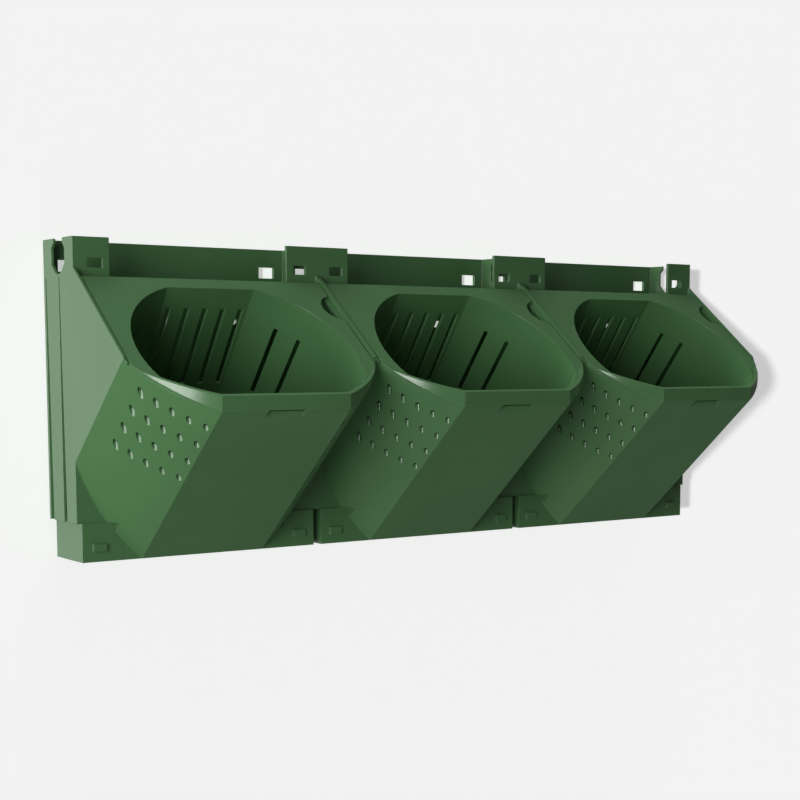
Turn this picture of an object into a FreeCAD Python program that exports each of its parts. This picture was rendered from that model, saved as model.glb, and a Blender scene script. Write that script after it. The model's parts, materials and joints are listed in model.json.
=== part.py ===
import FreeCAD, Part
import math
import os
from FreeCAD import Matrix, Placement, Rotation, Vector

# Wall planter: one outer moulding with three bays and three lift-out pots.
# Millimetres. X runs along the wall, the wall is the plane Y = 0, the front is towards -Y, Z is up.
# The origin is the middle of the back panel's wall face.

# Row
bay_count = 3
bay_pitch = 150.0
panel_height = 151.0        # back panel, and the height between stacked rows
wall = 2.0                  # general wall of the outer moulding
end_plate = 1.5             # side plate at each end of the row
joint_plate = 2.8           # side plate shared by two bays

# Tabs at the top corners of each bay
tab_reach = 39.0            # wall to the tab's front face
tab_width = 20.7
tab_height = 16.6           # row top to the start of the sloped rim
tab_foot = 5.0              # tab below the start of the rim, behind the pot's flange
tab_thickness = 1.8
window_width = 8.8          # snap window in a tab
window_height = 5.0
window_inset = 8.1          # bay edge to the window
window_drop = 10.9          # tab top to the window
back_window_grow = 0.7      # the window behind it in the back panel is larger all round

# Screw slots in the back panel
screw_slot_length = 10.0
screw_slot_width = 4.0
screw_spacing = 75.0        # between the two slots of a bay
screw_drop = 41.8           # row top to the slots

# Sloped rim and pocket
rim_angle = 38.3            # slope of the rim plane, forwards and down
apex_reach = 59.2           # tab front to the foremost point of a side plate
lip_reach = 91.9            # tab front to the front edge
corner_inset = 37.3         # bay edge to the front face
side_bulge = 4.1            # rounding of the pocket's sides beyond a straight line
rib_proud = 0.6             # side plate edge above the pot's flange
plate_setback = 2.7         # tab front to the side plates' lower front edges and the front panel
panel_top_drop = 95.0       # row top to the top of the front panel

# Bottom box, which slips behind the tabs of a row below
box_height = 21.0
box_inset = 2.6             # bay edge to the box
box_gap = 0.5               # box to the back panel of a row below
stack_gap = 0.2             # box front to the back of a tab below
patch_width = 19.9          # raised corner plates of the box
patch_foot = 38.0           # bay edge to the corner plate's end at the bottom
patch_straight = 7.0        # upright part of a corner plate's inner edge
nub_proud = 1.2
nub_gap = 0.4               # nub to the window that it clicks into
drain_diameter = 5.0
drain_count = 3
drain_pitch = 30.0

# Pipe slot through the side plates
pipe_diameter = 16.0
pipe_gap = 0.7              # room round the pipe
neck_width = 12.0
neck_depth = 2.4
pipe_drop = 9.0             # row top to the pipe's axis
vee_drop = 19.4             # row top to the bottom of the slot

# Grooves on the outer faces of the end plates
groove_drop = 20.6          # row top to the grooves' upper ends
groove_depth = 2.1          # at the bottom
groove_top_depth = 0.8
groove_width = 4.3          # ramp from the groove's back wall to the plate's face

# Air holes in the pocket's rounded sides
hole_columns = 5
hole_rows = 4
hole_diameter = 2.9         # upright round holes, long where the side is steep
hole_first = 16.5           # side plate's apex to the first column, along the rim
hole_pitch = 9.2            # between columns
hole_drop = 12.6            # rim to the first row
hole_sink = 0.4             # each column is lower than the one before it
row_pitch = 13.6            # between rows
hole_core = 22.0            # height of the pin that forms a hole

# Pot
flange_thickness = 1.6
flange_side = 2.3           # bay edge to the flange
flange_start = 6.5          # tab front to the flange's back edge, along the slope
seat_gap = 0.1              # flange to the pocket's top edge
pot_wall = 2.0
pot_gap = 0.8               # cup to the pocket's walls
mouth_radius = 57.7         # side arcs of the mouth
mouth_land = 10.5           # bay edge to the mouth's widest place
mouth_behind = 27.2695      # centres of the arcs behind the middle of the pocket's sides, along the slope
mouth_flat = 3.4            # the mouth's straight back edge inside the back of the arcs
cup_depth = 72.0
cup_draft = 3.5
collar_height = 7.6
collar_angle = 25.9         # slope of the collar's top
collar_wall = 2.4
notch_radius = 11.2         # finger notch in the flange's right edge
notch_centre = 30.0         # tab front to the notch, along the slope
ledge_width = 2.6           # strips on the side plates that carry the flange
ledge_thickness = 2.0
ledge_length = 58.0

# Slots in the cup
side_slot_width = 2.4
back_slot_width = 3.4
slot_end = 63.0             # rim to the slots' lower ends
back_slot_start = 13.0
back_slot_count = 5
back_slot_pitch = 11.1
side_slot_start = 19.0
side_slot_angles = (36.5, 51.0)   # from the mouth's width towards its back

# Pry recess across the front seam
pry_width = 22.2
pry_depth = 1.8
pry_drop = 6.3              # front edge to the recess's lower end
pry_seam = 1.2              # wider seam inside the recess

# Places that follow from the sizes above
row_length = bay_count * bay_pitch
half_row = row_length / 2
half_bay = bay_pitch / 2
top_z = panel_height / 2
plate_bottom_z = -panel_height / 2
base_z = plate_bottom_z - box_height
tab_y = -tab_reach
rim_z = top_z - tab_height
slope = math.tan(math.radians(rim_angle))
cos_rim = math.cos(math.radians(rim_angle))
apex_y = tab_y - apex_reach
lip_y = tab_y - lip_reach
apex_z = rim_z - apex_reach * slope
lip_z = rim_z - lip_reach * slope
mouth_spread = half_bay - mouth_land - mouth_radius
mouth_centre = (apex_reach + lip_reach) / 2 / cos_rim - mouth_behind
mouth_start = mouth_centre - mouth_radius + mouth_flat
patch_y = tab_y + tab_thickness + stack_gap
panel_y = tab_y + plate_setback
box_back_y = -wall - box_gap
pipe_y = -(tab_reach - tab_thickness + wall) / 2
big = 4 * row_length
bay_centres = [(i - (bay_count - 1) / 2) * bay_pitch for i in range(bay_count)]
plate_places = [i * bay_pitch - half_row for i in range(bay_count + 1)]
rim_frame = Placement(Vector(0, tab_y, rim_z), Rotation(Vector(1, 0, 0), rim_angle))
rim_normal = rim_frame.Rotation.multVec(Vector(0, 0, 1))
fall = Vector(0, patch_y - lip_y, base_z - lip_z).normalize()
fall_local = rim_frame.Rotation.inverted().multVec(fall)


def box(x0, x1, y0, y1, z0, z1):
    """Block between two corners."""
    return Part.makeBox(x1 - x0, y1 - y0, z1 - z0, Vector(x0, y0, z0))


def prism_x(points, x0, x1):
    """Outline of (y, z) points carried along X."""
    wire = Part.makePolygon([Vector(x0, y, z) for y, z in points + points[:1]])
    return Part.Face(wire).extrude(Vector(x1 - x0, 0, 0))


def prism_y(points, y0, y1):
    """Outline of (x, z) points carried along Y."""
    wire = Part.makePolygon([Vector(x, y0, z) for x, z in points + points[:1]])
    return Part.Face(wire).extrude(Vector(0, y1 - y0, 0))


def half_space(point, normal):
    """Large block on the side of a plane that its normal points to."""
    block = Part.makeBox(big, big, big, Vector(-big / 2, -big / 2, 0))
    block.Placement = Placement(point, Rotation(Vector(0, 0, 1), normal))
    return block


def mirrored(shape):
    """Copy on the other side of X = 0."""
    return shape.mirror(Vector(0, 0, 0), Vector(1, 0, 0))


def moved(shape, x):
    """Copy shifted along X."""
    copy = shape.copy()
    copy.translate(Vector(x, 0, 0))
    return copy


def both_sides(shape, x):
    """A bay's left feature and its mirror image, in the bay centred on x."""
    return [moved(shape, x), moved(mirrored(shape), x)]


def axes_rotation(x_axis, y_axis, z_axis):
    """Rotation onto three given unit axes."""
    return Placement(Matrix(x_axis.x, y_axis.x, z_axis.x, 0, x_axis.y, y_axis.y, z_axis.y, 0,
                            x_axis.z, y_axis.z, z_axis.z, 0, 0, 0, 0, 1)).Rotation


def rim_point(x, along):
    """Point of the rim plane in its own frame: x from the bay's middle, distance down the slope."""
    return Vector(x, -along, 0)


def side_circle():
    """Centre and radius of the arc, on the rim plane, of the pocket's left side."""
    apex = rim_point(-half_bay, apex_reach / cos_rim)
    corner = rim_point(corner_inset - half_bay, lip_reach / cos_rim)
    chord = corner - apex
    radius = chord.Length ** 2 / (8 * side_bulge) + side_bulge / 2
    inward = Vector(-chord.y, chord.x, 0).normalize()
    return (apex + corner) * 0.5 + inward * (radius - side_bulge), radius


def side_arc(inset, depth, start):
    """Arc of the left side at a depth below the rim, from a start point to the front: three points."""
    centre, radius = side_circle()
    shift = Vector(0, -depth * fall_local.y / fall_local.z, 0)
    centre = centre + shift
    radius = radius - inset
    end_y = shift.y + inset - lip_reach / cos_rim
    end = Vector(centre.x - math.sqrt(radius ** 2 - (end_y - centre.y) ** 2), end_y, 0)
    if start is None:
        start_y = centre.y - math.sqrt(radius ** 2 - (half_bay + centre.x) ** 2)
        start = Vector(-half_bay, start_y, 0)
    middle = centre + ((start + end) * 0.5 - centre).normalize() * radius
    return [start, middle, end]


def closed_outline(points, back_arc):
    """Symmetric wire from the left half's points: back, optional side arc, then the front arc."""
    other = [Vector(-p.x, p.y, 0) for p in points]
    if back_arc:
        sides = [Part.Arc(p[0], p[1], p[2]).toShape() for p in (points, other)]
    else:
        sides = [Part.makeLine(p[0], p[1]) for p in (points, other)]
    fronts = [Part.Arc(p[-3], p[-2], p[-1]).toShape() for p in (points, other)]
    edges = [Part.makeLine(points[0], other[0]), Part.makeLine(points[-1], other[-1])] + sides + fronts
    return Part.Wire(Part.__sortEdges__(edges))


def pocket_face(inset):
    """Outline of the pocket on the rim plane, from the wall to the front, set in from front and sides."""
    back = rim_point(-half_bay, -tab_reach / cos_rim)
    return Part.Face(closed_outline([back] + side_arc(inset, 0, None), False))


def pocket(inset, x0, x1):
    """Space under the rim inside the pocket's front and sides, down to the box floor."""
    face = pocket_face(inset)
    face.Placement = rim_frame
    column = face.extrude(fall * big)
    side = half_bay - box_inset - inset
    upper = box(x0, x1, -big, -inset, plate_bottom_z, top_z)
    lower = box(-side, side, -big, box_back_y - inset, base_z + inset, plate_bottom_z)
    return column.common(upper.fuse(lower))


def rim_cut(lift, x0, x1):
    """Everything above the rim plane raised by lift, between two X planes."""
    above = half_space(Vector(0, tab_y, rim_z) + rim_normal * lift, rim_normal)
    return above.common(box(x0, x1, -big, big, -big, big))


def patch():
    """Raised plate at the lower left corner of a bay, which slips behind a tab below."""
    x0 = box_inset - half_bay
    x1 = x0 + patch_width
    top = plate_bottom_z - stack_gap
    foot = patch_foot - half_bay
    points = [(x0, top), (x1, top), (x1, top - patch_straight), (foot, base_z), (x0, base_z)]
    return prism_y(points, patch_y, panel_y + wall)


def tab_notch(grow):
    """Room in front of the left corner plate for a tab of the row below, larger by grow."""
    x1 = box_inset + patch_width - half_bay + grow
    return box(-half_bay, x1, -big, patch_y + grow, base_z - wall, plate_bottom_z - stack_gap + grow)


def bay_outer():
    """Filled form of one bay: pocket, lower case and bottom box."""
    case = box(-half_bay, half_bay, panel_y, 0, plate_bottom_z, top_z - panel_top_drop)
    side = half_bay - box_inset
    under = box(-side, side, panel_y, box_back_y, base_z, plate_bottom_z)
    return pocket(0, -half_bay, half_bay).fuse([case, under] + both_sides(patch(), 0))


def bay_cavity(x0, x1):
    """Hollow of one bay: pocket, lower case, bottom box and raised corner plates."""
    case = box(x0, x1, panel_y + wall, -wall, plate_bottom_z + wall, top_z - panel_top_drop - wall)
    side = half_bay - box_inset - wall
    under = box(-side, side, panel_y + wall, box_back_y - wall, base_z + wall, plate_bottom_z + 2 * wall)
    corner = box(-side, patch_width - 2 * wall - side, patch_y + wall, panel_y + 2 * wall,
                 base_z + wall, plate_bottom_z - stack_gap - wall)
    room = pocket(wall, x0, x1).cut(both_sides(tab_notch(wall), 0))
    return room.fuse([case, under] + both_sides(corner, 0))


def side_plate(x0, x1):
    """Plate between two bays or at the row's end, with its edge along the sloped rim."""
    lift = rib_proud / cos_rim
    low_z = apex_z + fall.z / fall.y * (panel_y - apex_y)
    points = [(0, top_z), (tab_y, top_z), (tab_y, rim_z + lift), (apex_y, apex_z + lift),
              (apex_y, apex_z), (panel_y, low_z), (panel_y, plate_bottom_z), (0, plate_bottom_z)]
    return prism_x(points, x0, x1)


def plate_sides(i):
    """X of the two faces of side plate i, counted from the left end."""
    x = plate_places[i]
    if i == 0:
        return x, x + end_plate
    if i == bay_count:
        return x - end_plate, x
    return x - joint_plate / 2, x + joint_plate / 2


def pipe_slot(x):
    """Bottle-shaped slot, open at the top, for a drip pipe between tabs and back panel."""
    half = pipe_diameter / 2 + pipe_gap
    axis = top_z - pipe_drop
    neck = neck_width / 2
    shoulder = top_z - neck_depth - (half - neck)
    right = [(neck, top_z + wall), (neck, top_z - neck_depth), (half, shoulder),
             (half, axis - half / 2), (half / 2, axis - half), (0, top_z - vee_drop)]
    left = [(-y, z) for y, z in reversed(right[:-1])]
    return prism_x([(pipe_y + y, z) for y, z in right + left], x - 2 * wall, x + 2 * wall)


def tab():
    """Tab standing at the top left corner of a bay."""
    return box(-half_bay, tab_width - half_bay, tab_y, tab_y + tab_thickness, rim_z - tab_foot, top_z)


def window(grow, y0, y1):
    """Rectangular window at the top left corner of a bay, larger by grow on every side."""
    x = window_inset - half_bay
    z = top_z - window_drop - window_height
    return box(x - grow, x + window_width + grow, y0, y1, z - grow, z + window_height + grow)


def nub():
    """Raised rectangle that clicks into the tab window of a row below."""
    shape = window(-nub_gap, patch_y - nub_proud, patch_y + wall / 2)
    shape.translate(Vector(0, 0, -panel_height))
    return shape


def ledge(x0, x1):
    """Strip on a side plate that carries the pot's flange."""
    start = flange_start + flange_thickness
    strip = box(x0, x1, -start - ledge_length, -start, -flange_thickness - ledge_thickness, -flange_thickness)
    strip.Placement = rim_frame
    return strip


def groove(back_y):
    """Tapered groove down the left end plate: a wall facing the front and a ramp out to the plate's face."""
    top = top_z - groove_drop
    heel = Vector(groove_depth - half_row, back_y, plate_bottom_z)
    toe = Vector(-half_row, back_y - groove_width, plate_bottom_z)
    head = Vector(groove_top_depth - half_row, back_y, top)
    block = box(-half_row - end_plate, heel.x, back_y - 2 * groove_width, back_y, plate_bottom_z, top)
    return block.common(half_space(heel, (toe - heel).cross(head - heel)))


def obround(width, length):
    """Round-ended slot tool on the XY plane, along Y, passing through a wall at the origin."""
    radius = width / 2
    straight = length / 2 - radius
    reach = 2 * wall
    bar = box(-radius, radius, -straight, straight, -reach, reach)
    ends = [Part.makeCylinder(radius, 2 * reach, Vector(0, y, -reach)) for y in (-straight, straight)]
    return bar.fuse(ends).removeSplitter()


def air_holes():
    """Upright round holes through the left side: columns along the rim's arc, rows down the side."""
    centre, radius = side_circle()
    start = side_arc(0, 0, None)[0] - centre
    holes = []
    for column in range(hole_columns):
        turn = Rotation(Vector(0, 0, 1), math.degrees((hole_first + hole_pitch * column) / radius))
        top = rim_frame.multVec(centre + turn.multVec(start))
        for row in range(hole_rows):
            point = top + fall * (hole_drop + hole_sink * column + row_pitch * row)
            foot = point - Vector(0, 0, hole_core / 2)
            holes.append(Part.makeCylinder(hole_diameter / 2, hole_core, foot))
    return holes


def screw_slot(x):
    """Obround screw slot through the back panel, along X."""
    slot = obround(screw_slot_width, screw_slot_length)
    across = axes_rotation(Vector(0, 0, -1), Vector(1, 0, 0), Vector(0, -1, 0))
    slot.Placement = Placement(Vector(x, -wall / 2, top_z - screw_drop), across)
    return slot


def drains():
    """Round drain holes in the box floor."""
    middle = (panel_y + box_back_y) / 2
    places = [(i - (drain_count - 1) / 2) * drain_pitch for i in range(drain_count)]
    return [Part.makeCylinder(drain_diameter / 2, 3 * wall, Vector(x, middle, base_z - wall)) for x in places]


def seam_y():
    """Distance down the front face from the lip to the flange's underside."""
    return flange_thickness / -fall.dot(rim_normal)


def on_front(points):
    """Prism of (up the front face, outwards) points across the pry recess."""
    tool = prism_x(points, -pry_width / 2, pry_width / 2)
    up = fall * -1
    out = up.cross(Vector(1, 0, 0)) * -1
    tool.Placement = Placement(Vector(0, lip_y, lip_z), axes_rotation(Vector(1, 0, 0), up, out))
    return tool


def body_recess():
    """Ramp in the top of the front face, deepest at the seam."""
    top = seam_y() - wall
    return on_front([(-top, -pry_depth), (-seam_y() - pry_seam, -pry_depth), (-pry_drop, 0),
                     (-pry_drop, wall), (-top, wall)])


def seam_slit():
    """Wider seam between pot and body inside the recess."""
    return on_front([(-top_of_slit(), -2 * wall), (-seam_y() - pry_seam, -2 * wall),
                     (-seam_y() - pry_seam, wall), (-top_of_slit(), wall)])


def top_of_slit():
    """Start of the seam slit, just inside the flange's thickness."""
    return seam_y() - seat_gap


def pot_recess():
    """Ramp in the flange's front edge, deepest at the seam."""
    return on_front([(0, 0), (-seam_y(), -pry_depth), (-seam_y() - wall, -pry_depth),
                     (-seam_y() - wall, wall), (0, wall)])


def bay_cuts(i):
    """Everything taken out of the filled form of bay i."""
    x = bay_centres[i]
    x0 = plate_sides(i)[1] - x
    x1 = plate_sides(i + 1)[0] - x
    tools = [bay_cavity(x0, x1), rim_cut(-flange_thickness - seat_gap, x0, x1), body_recess(), seam_slit()]
    return [moved(tool, x) for tool in tools + drains() + both_sides(tab_notch(0), 0)]


def bay_adds(i):
    """Tabs, nubs and flange ledges of bay i."""
    x = bay_centres[i]
    left = plate_sides(i)[1]
    right = plate_sides(i + 1)[0]
    bite = end_plate / 4
    ledges = [ledge(left - bite, left + ledge_width), ledge(right - ledge_width, right + bite)]
    return both_sides(tab(), x) + both_sides(nub(), x) + ledges


def bay_trims(x):
    """Windows, screw slots and air holes of the bay centred on x."""
    tools = air_holes()
    tools += [window(0, tab_y - wall, tab_y + 2 * wall), window(back_window_grow, -2 * wall, wall)]
    tools.append(screw_slot(-screw_spacing / 2))
    return [copy for tool in tools for copy in both_sides(tool, x)]


def planter_body():
    """Outer moulding of the whole row."""
    panel = box(-half_row, half_row, -wall, 0, plate_bottom_z, top_z)
    solid = panel.fuse([moved(bay_outer(), x) for x in bay_centres])
    solid = solid.cut([tool for i in range(bay_count) for tool in bay_cuts(i)])
    adds = [panel] + [side_plate(*plate_sides(i)) for i in range(bay_count + 1)]
    adds += [shape for i in range(bay_count) for shape in bay_adds(i)]
    grooves = [groove(back_y) for back_y in (-tab_thickness, pipe_y)]
    adds += [shape for tool in grooves for shape in both_sides(moved(tool, end_plate), 0)]
    solid = solid.fuse(adds)
    trims = [tool for x in bay_centres for tool in bay_trims(x)]
    trims += [pipe_slot(x) for x in plate_places]
    trims += [shape for tool in grooves for shape in both_sides(tool, 0)]
    return solid.cut(trims).removeSplitter()


def mouth_wire(depth, grow):
    """Section of the cup at a depth below the rim: straight back, round sides, rounded front corners."""
    shrink = depth * math.tan(math.radians(cup_draft)) - grow
    radius = mouth_radius - shrink
    back = mouth_start + shrink
    inset = wall + pot_gap + pot_wall - grow
    middle = rim_point(-mouth_spread, mouth_centre)
    back_x = middle.x - math.sqrt(radius ** 2 - (mouth_centre - back) ** 2)
    centre, side_radius = side_circle()
    centre.y -= depth * fall_local.y / fall_local.z
    apart = centre - middle
    reach = (radius ** 2 - (side_radius - inset) ** 2 + apart.Length ** 2) / (2 * apart.Length)
    apart.normalize()
    meet = middle + apart * reach + Vector(-apart.y, apart.x, 0) * math.sqrt(radius ** 2 - reach ** 2)
    side = rim_point(middle.x - radius, mouth_centre)
    wire = closed_outline([rim_point(back_x, back), side] + side_arc(inset, depth, meet), True)
    wire.translate(Vector(0, 0, -depth))
    return wire


def flange_solid():
    """Flat flange round the mouth, flush with the pocket's front and sides."""
    face = pocket_face(0)
    slab = face.extrude(fall_local * (flange_thickness / -fall_local.z))
    side = half_bay - flange_side
    return slab.common(box(-side, side, -big, -flange_start, -big, big))


def collar():
    """Upright wall round the mouth's front, with a sloped top."""
    rise = Vector(0, 0, 4 * collar_height)
    outer = pocket_face(0)
    inner = pocket_face(collar_wall)
    ring = []
    for face in (outer, inner):
        face.Placement = rim_frame
        ring.append(face.extrude(rise))
    lean = math.radians(collar_angle)
    above = half_space(Vector(0, lip_y, lip_z + collar_height), Vector(0, -math.sin(lean), math.cos(lean)))
    side = half_bay - flange_side
    return ring[0].cut([ring[1], above]).common(box(-side, side, -big, tab_y, -big, big))


def cup_slots():
    """Narrow slots through the cup's back and round side walls."""
    reach = 6 * pot_wall
    half = back_slot_width / 2
    tools = []
    for i in range(back_slot_count):
        x = (i - (back_slot_count - 1) / 2) * back_slot_pitch
        tools.append(box(x - half, x + half, -mouth_start - reach, reach - mouth_start,
                         -slot_end, -back_slot_start))
    half = side_slot_width / 2
    for angle in side_slot_angles:
        slot = box(mouth_radius - reach, mouth_radius + reach, -half, half, -slot_end, -side_slot_start)
        slot.Placement = Placement(rim_point(mouth_spread, mouth_centre), Rotation(Vector(0, 0, 1), angle))
        tools += [slot, mirrored(slot)]
    return tools


def pot():
    """Lift-out pot of the middle bay: flange, collar, slotted cup and finger notch."""
    cup = Part.makeLoft([mouth_wire(0, pot_wall), mouth_wire(cup_depth, pot_wall)], True, True)
    inside = Part.makeLoft([mouth_wire(0, 0), mouth_wire(cup_depth - pot_wall, 0)], True, True)
    notch = Part.makeCylinder(notch_radius, 4 * wall, Vector(half_bay, -notch_centre, -2 * wall))
    solid = flange_solid().fuse(cup).cut([inside, notch] + cup_slots())
    solid.Placement = rim_frame
    return solid.fuse(collar()).cut(pot_recess()).removeSplitter()


os.makedirs("parts", exist_ok=True)
shapes = {"planter_body": planter_body()}
for name, x in zip(("pot_left", "pot_middle", "pot_right"), bay_centres):
    shapes[name] = moved(pot(), x)
for name, shape in shapes.items():
    shape.exportStep("parts/" + name + ".step")
    print(name, shape.isValid(), len(shape.Solids), round(shape.Volume), shape.BoundBox)
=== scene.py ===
import json
import math

import bpy
import numpy as np
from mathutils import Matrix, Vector

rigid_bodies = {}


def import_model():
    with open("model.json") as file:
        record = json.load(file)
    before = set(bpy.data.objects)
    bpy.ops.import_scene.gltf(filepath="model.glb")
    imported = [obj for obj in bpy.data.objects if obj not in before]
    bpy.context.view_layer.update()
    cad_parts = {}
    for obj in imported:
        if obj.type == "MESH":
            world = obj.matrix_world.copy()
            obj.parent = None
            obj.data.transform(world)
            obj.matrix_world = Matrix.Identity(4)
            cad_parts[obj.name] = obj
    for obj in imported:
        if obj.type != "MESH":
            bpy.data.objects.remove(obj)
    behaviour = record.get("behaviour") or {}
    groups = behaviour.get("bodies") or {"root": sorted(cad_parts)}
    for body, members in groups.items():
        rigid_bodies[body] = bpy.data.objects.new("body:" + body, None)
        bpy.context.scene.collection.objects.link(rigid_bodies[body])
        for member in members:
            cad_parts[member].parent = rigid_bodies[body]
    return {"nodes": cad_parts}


# Looks of a moulded wall planter: one green outer moulding with three bays, and three lift-out pots.
# Metres, in the part's own frame: the wall is the plane Y = 0, the front is towards -Y, Z is up.

for leftover in list(bpy.data.objects):
    bpy.data.objects.remove(leftover)

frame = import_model()
bpy.context.view_layer.update()

# Plastic; colours are linear RGBA
GREEN = (0.050, 0.124, 0.047, 1.0)
GREEN_DEEP = (0.046, 0.114, 0.043, 1.0)
# lighter green for the edges: partly rubbed wear, partly a painted edge highlight
GREEN_EDGE_WEAR_AND_HIGHLIGHT = (0.120, 0.215, 0.115, 1.0)
PLASTIC_IOR = 1.49
BODY_ROUGHNESS = 0.25
POT_ROUGHNESS = 0.23
BODY_SKIN = {"Cloud Scale": 13.0, "Grain Scale": 2600.0, "Streak": 0.35}
POT_SKIN = {"Cloud Scale": 19.0, "Grain Scale": 2900.0, "Streak": 0.30}
CLOUD_BAND = (0.32, 0.68)    # noise values from the deep green to the plain one
STREAK_SCALE = 90.0
STREAK_STRETCH = (0.25, 1.0, 1.0)
COARSE_SCALE = 0.31          # scale of the coarse grain as a part of the fine one's
FINE_SHARE = 0.6             # part of the grain's height that is fine
GRAIN_STRENGTH = 0.005
GRAIN_HEIGHT = 0.0002
GLOSS_SPREAD = 0.03          # how much the roughness follows the streaks and the coarse grain
NOISE_MIDDLE = 0.5

# Edges of the plastic: one lighter tone on every edge, partly rubbed wear and partly painted edge highlight
BEVEL_SAMPLES = 6
EDGE_RADIUS = 0.0004         # rounding that the light sees
EDGE_WEAR_AND_HIGHLIGHT_RADIUS = 0.0007       # reach of the lighter edge tone, rubbed wear and painted highlight
EDGE_WEAR_AND_HIGHLIGHT_LEAN = (0.01, 0.28)   # lean of the rounded normal where the lighter edge tone starts and where it is full
EDGE_WEAR_AND_HIGHLIGHT_CLOUD = (0.0, 1.2)    # cloud values over which the lighter edge tone grows
EDGE_WEAR_AND_HIGHLIGHT_SHARE = 0.35          # how far the lighter edge tone (rubbed wear and painted highlight) replaces the green
RUBBED_POLISH = 0.08         # roughness that rubbing takes away

# Backdrop and sky
WALL_Y = 0.002               # just behind the back panel
WALL_TOP = 2.6
FLOOR_Z = -0.75
FLOOR_REACH = 4.0
COVE_RADIUS = 0.30
HALF_WIDTH = 4.0
FLAT_POINTS = 13             # along the wall's height and along the floor
COVE_POINTS = 25
WIDTH_POINTS = 9
WALL_TONE = (0.80, 0.80, 0.80, 1.0)
WALL_OWN_LIGHT = 0.480       # part of the backdrop's paleness that no shadow takes away
SKY_TONE = (1.0, 1.0, 1.0, 1.0)
SKY_LEVEL = 0.10             # sky that lights the object
PALE = 0.887                 # sky that the camera sees: the photograph's plain background

# Lamps; a level is the tone that the lamp gives a white face square to it
SOFTBOX_AIM = (-0.19, -0.10, 0.0)
SOFTBOX_TOWARDS = (-0.825, -0.565, 0.08)
SOFTBOX_LEVEL = 1.28
SOFTBOX_DISTANCE = 1.1
SOFTBOX_RADIUS = 0.38
# Distant lamps: name, direction to the lamp, level, spread in degrees, seen in reflections
PART_SUNS = [
    ("fill_left", (-1.0, 0.12, 0.0), 0.50, 24.0, True),
    ("wall_bounce", (-0.5, 0.85, 0.1), 0.207, 60.0, True),
    ("fill_below", (0.0, -0.6, -0.8), 0.15, 60.0, False),
    ("fill_under", (0.0, 0.0, -1.0), 0.25, 60.0, False),
    ("fill_above", (0.0, 0.5, 0.85), 1.53, 60.0, False),
]
STAGE_SUNS = [
    ("backdrop_lamp", (-0.783, -0.622, 0.003), 0.65, 2.5, True),
    ("floor_lamp", (0.0, -0.02, 1.0), 0.28, 20.0, True),
]

# Camera solved from the photograph
CAMERA_PLACE = (-0.55605, -0.80991, 0.01318)
CAMERA_YAW = 34.96
CAMERA_PITCH = 6.755
FOCAL_PIXELS = 1556.83
AXIS_ROW = 540.90            # image row of the optical axis
IMAGE_SIDE = 800
SENSOR_MM = 36.0
CLIP_NEAR = 0.01
CLIP_FAR = 50.0


class Nodes:
    """A node tree with short calls: add a node, set its sockets and link it in one line."""

    def __init__(self, tree):
        self.tree = tree

    def add(self, kind, sockets=None, **settings):
        """New node; sockets maps an input's name or number to a value or to another node's output."""
        node = self.tree.nodes.new(kind)
        for name, value in settings.items():
            setattr(node, name, value)
        for name, value in (sockets or {}).items():
            if isinstance(value, bpy.types.NodeSocket):
                self.tree.links.new(value, node.inputs[name])
            else:
                node.inputs[name].default_value = value
        return node

    def math(self, operation, a, b, clamp=False):
        """Output of a Math node on two values or sockets."""
        return self.add("ShaderNodeMath", {0: a, 1: b}, operation=operation, use_clamp=clamp).outputs[0]

    def noise(self, vector, scale, detail, roughness):
        """Value of fractal noise, about NOISE_MIDDLE on average."""
        sockets = {"Vector": vector, "Scale": scale, "Detail": detail, "Roughness": roughness}
        return self.add("ShaderNodeTexNoise", sockets).outputs["Fac"]

    def mix_color(self, factor, a, b):
        """Colour between a and b; the numbers are the Mix node's colour sockets."""
        return self.add("ShaderNodeMix", {0: factor, 6: a, 7: b}, data_type="RGBA").outputs[2]

    def ramp(self, value, low, high):
        """0 below low, 1 above high, smooth between."""
        sockets = {"Value": value, "From Min": low, "From Max": high}
        node = self.add("ShaderNodeMapRange", sockets, interpolation_type="SMOOTHSTEP")
        return node.outputs["Result"]

    def rounded_normal(self, radius):
        """Normal as it would be with the edges rounded."""
        return self.add("ShaderNodeBevel", {"Radius": radius}, samples=BEVEL_SAMPLES).outputs["Normal"]


def make_group(name, inputs, outputs):
    """Empty shader node group with named sockets; returns its nodes, its inputs and its output node."""
    tree = bpy.data.node_groups.new(name, "ShaderNodeTree")
    for in_out, sockets in (("INPUT", inputs), ("OUTPUT", outputs)):
        for label, kind in sockets:
            tree.interface.new_socket(label, in_out=in_out, socket_type=kind)
    nodes = Nodes(tree)
    return nodes, nodes.add("NodeGroupInput").outputs, nodes.add("NodeGroupOutput")


def softened_edge_group():
    """Mask that is 1 on moulded edges: how far a rounded normal leans away from the flat one."""
    nodes, given, out = make_group(
        "softened_edge",
        [("Radius", "NodeSocketFloat")],
        [("Mask", "NodeSocketFloat")])
    rounded = nodes.rounded_normal(given["Radius"])
    flat = nodes.add("ShaderNodeNewGeometry").outputs["Normal"]
    facing = nodes.add("ShaderNodeVectorMath", {0: rounded, 1: flat}, operation="DOT_PRODUCT")
    lean = nodes.math("SUBTRACT", 1.0, facing.outputs["Value"], clamp=True)
    nodes.tree.links.new(nodes.ramp(lean, *EDGE_WEAR_AND_HIGHLIGHT_LEAN), out.inputs["Mask"])
    return nodes.tree


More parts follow.
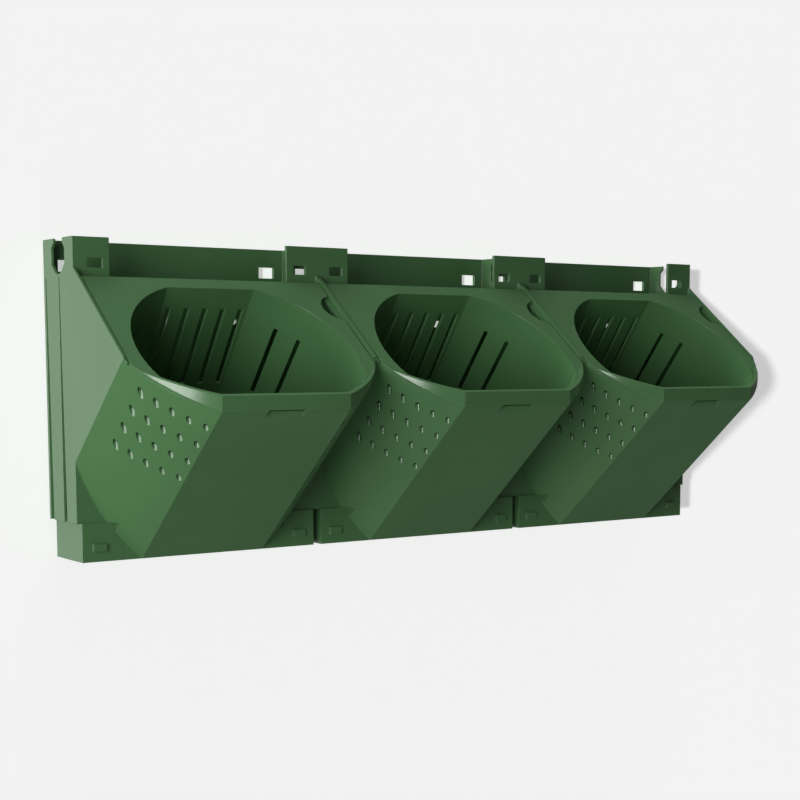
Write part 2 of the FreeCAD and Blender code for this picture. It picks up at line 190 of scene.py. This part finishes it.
def moulded_skin_group():
    """Skin of injection-moulded plastic: cloudy tone, a fine spark-eroded grain and faint flow streaks."""
    nodes, given, out = make_group(
        "moulded_skin",
        [("Place", "NodeSocketVector"), ("Cloud Scale", "NodeSocketFloat"),
         ("Grain Scale", "NodeSocketFloat"), ("Streak", "NodeSocketFloat")],
        [("Cloud", "NodeSocketFloat"), ("Gloss Change", "NodeSocketFloat"), ("Height", "NodeSocketFloat")])
    place = given["Place"]
    cloud = nodes.noise(place, given["Cloud Scale"], detail=4.0, roughness=0.55)
    stretched = nodes.add("ShaderNodeMapping", {"Vector": place, "Scale": STREAK_STRETCH}).outputs["Vector"]
    streaks = nodes.noise(stretched, STREAK_SCALE, detail=3.0, roughness=0.6)
    fine = nodes.noise(place, given["Grain Scale"], detail=2.0, roughness=0.6)
    coarse_scale = nodes.math("MULTIPLY", given["Grain Scale"], COARSE_SCALE)
    coarse = nodes.noise(place, coarse_scale, detail=2.0, roughness=0.5)
    flow = nodes.math("MULTIPLY", nodes.math("SUBTRACT", streaks, NOISE_MIDDLE), given["Streak"])
    tone = nodes.math("ADD", nodes.ramp(cloud, *CLOUD_BAND), flow, clamp=True)
    gloss = nodes.math("ADD", flow, nodes.math("SUBTRACT", coarse, NOISE_MIDDLE))
    fine_part = nodes.math("MULTIPLY", fine, FINE_SHARE)
    height = nodes.math("ADD", fine_part, nodes.math("MULTIPLY", coarse, 1.0 - FINE_SHARE))
    for label, value in (("Cloud", tone), ("Gloss Change", gloss), ("Height", height)):
        nodes.tree.links.new(value, out.inputs[label])
    return nodes.tree


def green_plastic(name, edge, skin, skin_values, roughness):
    """Satin green polypropylene whose edges get a lighter tone, partly rubbed wear and partly painted
    highlight; edge and skin are the two node groups.
    """
    material = bpy.data.materials.new(name)
    material.use_nodes = True
    nodes = Nodes(material.node_tree)
    place = nodes.add("ShaderNodeTexCoord").outputs["Object"]
    surface = nodes.add("ShaderNodeGroup", node_tree=skin, sockets={"Place": place, **skin_values}).outputs
    edge_wear_and_highlight = nodes.add("ShaderNodeGroup", node_tree=edge, sockets={"Radius": EDGE_WEAR_AND_HIGHLIGHT_RADIUS}).outputs["Mask"]
    tone = nodes.mix_color(surface["Cloud"], GREEN_DEEP, GREEN)
    # lighter tone along every edge: rubbed wear and a painted edge highlight
    worn_and_highlit = nodes.math("MULTIPLY", edge_wear_and_highlight, nodes.ramp(surface["Cloud"], *EDGE_WEAR_AND_HIGHLIGHT_CLOUD))
    color = nodes.mix_color(nodes.math("MULTIPLY", worn_and_highlit, EDGE_WEAR_AND_HIGHLIGHT_SHARE), tone, GREEN_EDGE_WEAR_AND_HIGHLIGHT)
    change = nodes.math("MULTIPLY", surface["Gloss Change"], GLOSS_SPREAD)
    polish = nodes.math("MULTIPLY", edge_wear_and_highlight, RUBBED_POLISH)
    gloss = nodes.math("SUBTRACT", nodes.math("ADD", roughness, change), polish)
    relief = nodes.add("ShaderNodeBump", {
        "Strength": GRAIN_STRENGTH,
        "Distance": GRAIN_HEIGHT,
        "Height": surface["Height"],
        "Normal": nodes.rounded_normal(EDGE_RADIUS)}).outputs["Normal"]
    shader = material.node_tree.nodes["Principled BSDF"]
    shader.inputs["IOR"].default_value = PLASTIC_IOR
    for label, value in (("Base Color", color), ("Roughness", gloss), ("Normal", relief)):
        nodes.tree.links.new(value, shader.inputs[label])
    return material


def dress_frame():
    """Gives the outer moulding and the pots their plastics."""
    edge = softened_edge_group()
    skin = moulded_skin_group()
    body = green_plastic("body_green_plastic", edge, skin, BODY_SKIN, BODY_ROUGHNESS)
    pots = green_plastic("pot_green_plastic", edge, skin, POT_SKIN, POT_ROUGHNESS)
    for name, node in frame["nodes"].items():
        material = body if name == "planter_body" else pots
        for slot in node.material_slots:
            slot.material = material


def backdrop_sheet():
    """Wall and floor in one sheet: the profile (wall, quarter-round cove, floor) carried along X.

    The profile's point at turn t in the cove, with radius r, is r * (1 - cos t) in front of the wall
    and r * (1 - sin t) above the floor.
    """
    turn = np.linspace(0.0, math.pi / 2, COVE_POINTS)
    cove_y = COVE_RADIUS * (np.cos(turn) - 1)
    cove_z = FLOOR_Z + COVE_RADIUS * (1 - np.sin(turn))
    wall_z = np.linspace(WALL_TOP, FLOOR_Z + COVE_RADIUS, FLAT_POINTS)[:-1]
    floor_y = np.linspace(-COVE_RADIUS, -FLOOR_REACH, FLAT_POINTS)[1:]
    y = np.concatenate([np.zeros_like(wall_z), cove_y, floor_y]) + WALL_Y
    z = np.concatenate([wall_z, cove_z, np.full_like(floor_y, FLOOR_Z)])
    x = np.linspace(-HALF_WIDTH, HALF_WIDTH, WIDTH_POINTS)
    grid_x, grid_y = np.meshgrid(x, y, indexing="ij")
    grid_z = np.broadcast_to(z, grid_x.shape)
    points = np.stack([grid_x, grid_y, grid_z], axis=-1).reshape(-1, 3)
    index = np.arange(len(points)).reshape(grid_x.shape)
    corners = [index[:-1, :-1], index[:-1, 1:], index[1:, 1:], index[1:, :-1]]
    quads = np.stack(corners, axis=-1).reshape(-1, 4)
    mesh = bpy.data.meshes.new("backdrop")
    mesh.from_pydata(points.tolist(), [], quads.tolist())
    mesh.polygons.foreach_set("use_smooth", np.ones(len(mesh.polygons), bool))
    mesh.update()
    return mesh


def backdrop_material():
    """Pale matt sheet, seen from its front only, that keeps the object's shadow."""
    material = bpy.data.materials.new("backdrop_pale")
    material.use_nodes = True
    nodes = Nodes(material.node_tree)
    nodes.tree.nodes.remove(nodes.tree.nodes["Principled BSDF"])
    matt = nodes.add("ShaderNodeBsdfDiffuse", {"Color": WALL_TONE}).outputs[0]
    seen = nodes.add("ShaderNodeLightPath").outputs["Is Camera Ray"]
    strength = nodes.math("MULTIPLY", seen, WALL_OWN_LIGHT)
    own = nodes.add("ShaderNodeEmission", {"Strength": strength}).outputs[0]
    front = nodes.add("ShaderNodeAddShader", {0: matt, 1: own}).outputs[0]
    clear = nodes.add("ShaderNodeBsdfTransparent").outputs[0]
    behind = nodes.add("ShaderNodeNewGeometry").outputs["Backfacing"]
    both = nodes.add("ShaderNodeMixShader", {0: behind, 1: front, 2: clear}).outputs[0]
    nodes.tree.links.new(both, nodes.tree.nodes["Material Output"].inputs["Surface"])
    return material


def set_stage():
    """Wall and floor sheet that throws no shade on the object's back."""
    sheet = bpy.data.objects.new("backdrop", backdrop_sheet())
    sheet.data.materials.append(backdrop_material())
    bpy.context.scene.collection.objects.link(sheet)
    sheet.visible_shadow = False
    sheet.visible_diffuse = False
    sheet.visible_glossy = False
    return sheet


def set_sky():
    """Dim sky for the object, as pale as the backdrop where the camera sees it."""
    world = bpy.data.worlds.new("studio_sky")
    bpy.context.scene.world = world
    world.use_nodes = True
    nodes = Nodes(world.node_tree)
    seen = nodes.add("ShaderNodeLightPath").outputs["Is Camera Ray"]
    strength = nodes.add("ShaderNodeMapRange", {"Value": seen, "To Min": SKY_LEVEL, "To Max": PALE})
    sky = nodes.tree.nodes["Background"]
    sky.inputs["Color"].default_value = SKY_TONE
    nodes.tree.links.new(strength.outputs["Result"], sky.inputs["Strength"])


def collection_of(name, objects):
    """Collection, outside the scene, that lamps are limited to."""
    collection = bpy.data.collections.new(name)
    for item in objects:
        collection.objects.link(item)
    return collection


def lamp_object(name, lamp, towards, glossy, lit):
    """Puts a lamp in the scene, facing along -towards; it lights only the objects in the collection lit."""
    body = bpy.data.objects.new(name, lamp)
    body.rotation_euler = Vector(towards).to_track_quat("Z", "Y").to_euler()
    body.visible_camera = False
    body.visible_glossy = glossy
    body.light_linking.receiver_collection = lit
    bpy.context.scene.collection.objects.link(body)
    return body


def softbox(lit):
    """Round area lamp that faces the left pot, where its level holds."""
    lamp = bpy.data.lights.new("softbox_left", "AREA")
    lamp.shape = "DISK"
    lamp.size = 2 * SOFTBOX_RADIUS
    lamp.energy = SOFTBOX_LEVEL * (math.pi * SOFTBOX_DISTANCE) ** 2
    body = lamp_object("softbox_left", lamp, SOFTBOX_TOWARDS, True, lit)
    body.location = Vector(SOFTBOX_AIM) + Vector(SOFTBOX_TOWARDS).normalized() * SOFTBOX_DISTANCE


def sun(name, towards, level, spread, glossy, lit):
    """Distant lamp, with its spread in degrees."""
    lamp = bpy.data.lights.new(name, "SUN")
    lamp.energy = math.pi * level
    lamp.angle = math.radians(spread)
    lamp_object(name, lamp, towards, glossy, lit)


def set_lights(sheet):
    """Softbox and fills for the object; for the backdrop a lamp for its shadow and one for its floor."""
    part = collection_of("lit_part", frame["nodes"].values())
    stage = collection_of("lit_stage", [sheet])
    softbox(part)
    for lamp in PART_SUNS:
        sun(*lamp, part)
    for lamp in STAGE_SUNS:
        sun(*lamp, stage)


def set_camera():
    """Camera at the photograph's place, its axis lower than the image's middle as in the photograph."""
    data = bpy.data.cameras.new("camera")
    data.sensor_width = SENSOR_MM
    data.lens = FOCAL_PIXELS / IMAGE_SIDE * SENSOR_MM
    data.shift_y = (AXIS_ROW - IMAGE_SIDE / 2) / IMAGE_SIDE
    data.clip_start = CLIP_NEAR
    data.clip_end = CLIP_FAR
    camera = bpy.data.objects.new("camera", data)
    camera.location = CAMERA_PLACE
    camera.rotation_euler = (math.radians(90.0 - CAMERA_PITCH), 0.0, math.radians(-CAMERA_YAW))
    bpy.context.scene.collection.objects.link(camera)
    bpy.context.scene.camera = camera


dress_frame()
set_lights(set_stage())
set_sky()
set_camera()
bpy.context.scene.view_settings.view_transform = "Standard"

bpy.context.view_layer.update()
